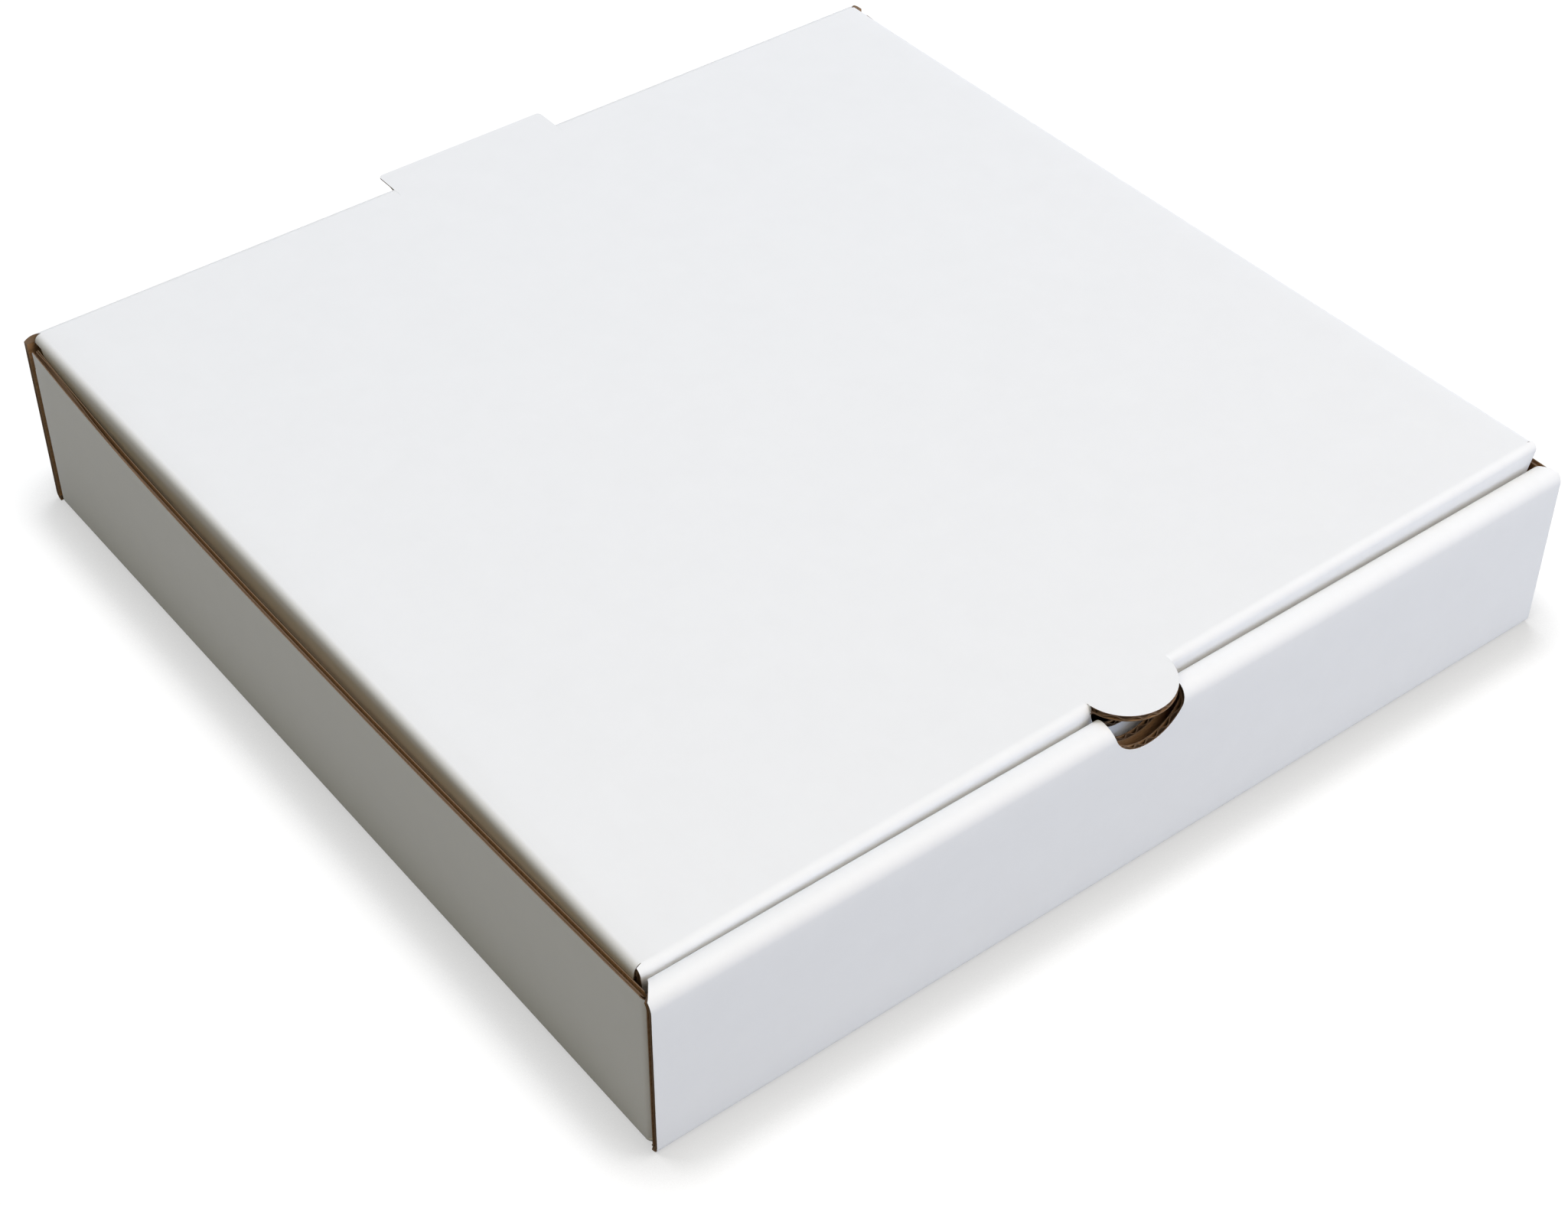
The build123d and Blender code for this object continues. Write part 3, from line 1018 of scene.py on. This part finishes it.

# Rear crease: the stretch of board that was crushed flat by the creasing rule and joins the back
# wall to the lid, on both sides of the rear tab.
tab_cut = rear_tab_half + 0.03 * mm   # the cut beside the rear tab is shut while the lid is closed
crease_cell = 0.4 * mm
bend_rows = 14
crease_foot = base_reach + quarter + lid_top - fold - crease_top
crease_outline = [
    (tab_cut, crease_rear),
    (side_crease + quarter, crease_rear),
    (side_crease + quarter, base_reach),
    (side_crease, base_reach),
    (half_width, base_reach + quarter),
    (half_width, crease_foot),
    (tab_cut, crease_foot),
]
crease_loops = [[Vector((side * x, y)) for x, y in crease_outline][::side] for side in (-1, 1)]
crease_side_lines = even(tab_cut, side_crease, cell) + bent(side_crease)
crease_lines_x = grid_lines(s * x for x in crease_side_lines for s in (-1, 1))
crease_lines_y = (
    even(crease_rear, base_reach, crease_cell)
    + list(np.linspace(base_reach, base_reach + quarter, bend_rows + 1))[1:-1]
    + even(base_reach + quarter, crease_foot, crease_cell)
)
rear_crease = flat_board(
    "rear_crease", crease_loops, crease_lines_x, crease_lines_y, [(lid_top - board, lid_top)], lid_top
)
lid_end = base_reach + 0.01 * mm      # what lies ahead of here folds down with the lid's side flaps
wrap_edges(rear_crease, crease_rear, lid_end)
tree, sheet = new_tree("rear_crease_folds")
sheet, blank = keep_blank(tree, sheet)
parts = add_node(tree, "ShaderNodeSeparateXYZ", {0: blank}).outputs
ahead = add_node(
    tree, "FunctionNodeCompare", {0: parts["Y"], 1: lid_end}, operation="LESS_THAN"
).outputs[0]
creased = fold_up(
    tree,
    sheet,
    blank,
    [
        (True, (0, 1, 0), base_reach, math.pi / 2, -bend, lid_middle),
        (ahead, (-1, 0, 0), side_crease, math.pi / 2, -bend, lid_middle),
        (ahead, (1, 0, 0), side_crease, math.pi / 2, -bend, lid_middle),
    ],
)
add_node(tree, "NodeGroupOutput", {"Sheet": creased})
shaped(rear_crease, tree, board_papers)
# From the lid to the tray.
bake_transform(rear_crease)

# Stage: a plain pale floor under soft studio light. To the camera the floor and the surroundings are white.
# The floor keeps the real shadow of the box, and close to the box a painted contact shadow darkens it
# further.
scene = bpy.context.scene
scene.view_settings.view_transform = "Standard"


def seen_directly(tree):
    """1 for what the camera sees, straight or in a gloss or glass, and 0 for light that lights things."""
    rays = add_node(tree, "ShaderNodeLightPath").outputs
    seen = add_node(
        tree, "ShaderNodeMath", {0: rays["Is Camera Ray"], 1: rays["Is Glossy Ray"]}, operation="MAXIMUM"
    )
    return add_node(
        tree, "ShaderNodeMath", {0: seen.outputs[0], 1: rays["Is Transmission Ray"]}, operation="MAXIMUM"
    ).outputs[0]


def studio_floor():
    """Matt pale paper floor. What the camera sees of it is lifted to white by a glow, and close to the box
    ambient occlusion dims that glow: a painted contact shadow on top of the real one.
    """
    material = bpy.data.materials.new("pale_floor_with_painted_contact_shadow")
    material.use_nodes = True
    tree = material.node_tree
    tree.nodes.clear()
    seen = seen_directly(tree)
    albedo = add_node(
        tree,
        "ShaderNodeMix",
        {0: seen, 6: linear("#A0A0A0"), 7: linear("#5A5A5A")},
        data_type="RGBA",
    )
    matt = add_node(tree, "ShaderNodeBsdfDiffuse", {"Color": albedo.outputs[2]})
    # Ambient occlusion dims the floor's glow near the box: this is painted contact shadow.
    contact_occlusion = add_node(tree, "ShaderNodeAmbientOcclusion", {"Distance": 14 * mm}, samples=4)
    shade = add_node(
        tree,
        "ShaderNodeMapRange",
        {"Value": contact_occlusion.outputs["AO"], "From Min": 0.6, "From Max": 1.0, "To Min": 0.54, "To Max": 0.96},
        interpolation_type="SMOOTHSTEP",
    )
    strength = add_node(tree, "ShaderNodeMath", {0: seen, 1: shade.outputs[0]}, operation="MULTIPLY")
    lift = add_node(tree, "ShaderNodeEmission", {"Color": (1, 1, 1, 1), "Strength": strength.outputs[0]})
    both = add_node(tree, "ShaderNodeAddShader", {0: matt.outputs[0], 1: lift.outputs[0]})
    add_node(tree, "ShaderNodeOutputMaterial", {"Surface": both.outputs[0]})
    return material


floor_half = 6.0
floor_mesh = bpy.data.meshes.new("floor")
floor_corners = [(x * floor_half, y * floor_half, 0) for x, y in ((-1, -1), (1, -1), (1, 1), (-1, 1))]
floor_mesh.from_pydata(floor_corners, [], [(0, 1, 2, 3)])
floor_mesh.materials.append(studio_floor())
floor = bpy.data.objects.new("floor", floor_mesh)
scene.collection.objects.link(floor)

world = bpy.data.worlds.new("studio")
scene.world = world
world.use_nodes = True
world.node_tree.nodes.clear()
seen = seen_directly(world.node_tree)
ambient = 0.03
strength = add_node(
    world.node_tree, "ShaderNodeMapRange", {"Value": seen, "To Min": ambient, "To Max": 1.0}
)
sky = add_node(
    world.node_tree, "ShaderNodeBackground", {"Color": (1, 1, 1, 1), "Strength": strength.outputs[0]}
)
add_node(world.node_tree, "ShaderNodeOutputWorld", {"Surface": sky.outputs[0]})


def soft_box(name, place, size, power, colour):
    """A square studio light aimed at the middle of the box."""
    lamp = bpy.data.lights.new(name, "AREA")
    lamp.shape = "SQUARE"
    lamp.size = size
    lamp.energy = power
    lamp.color = linear(colour)[:3]
    made = bpy.data.objects.new(name, lamp)
    made.location = place
    made.rotation_euler = (Vector((0, 0, lid_top)) - Vector(place)).to_track_quat("-Z", "Y").to_euler()
    scene.collection.objects.link(made)


soft_box("key_light", (1.1, -1.7, 2.9), 2.2, 74.2, "#FFF4E6")
soft_box("rear_light", (0.6, 1.6, 2.6), 2.2, 46.9, "#D7E6FF")
soft_box("front_light", (1.5, -2.4, 0.9), 1.6, 43.0, "#DBE8FF")
soft_box("left_light", (-1.5, -0.3, 2.6), 1.6, 15.6, "#FFF4C7")

# Camera: fitted to straight edges of the box in the photo, which was taken with a slight roll.
camera = bpy.data.objects.new("camera", bpy.data.cameras.new("camera"))
scene.collection.objects.link(camera)
camera.data.sensor_width = 36.0
camera.data.lens = 65.33
camera.location = (-0.3226, -0.4181, 0.4614)
aim = Vector((-0.0253, -0.0362, 0.025))
camera.rotation_euler = (aim - camera.location).to_track_quat("-Z", "Y").to_euler()
camera.rotation_euler.rotate_axis("Z", math.radians(0.2))
scene.camera = camera
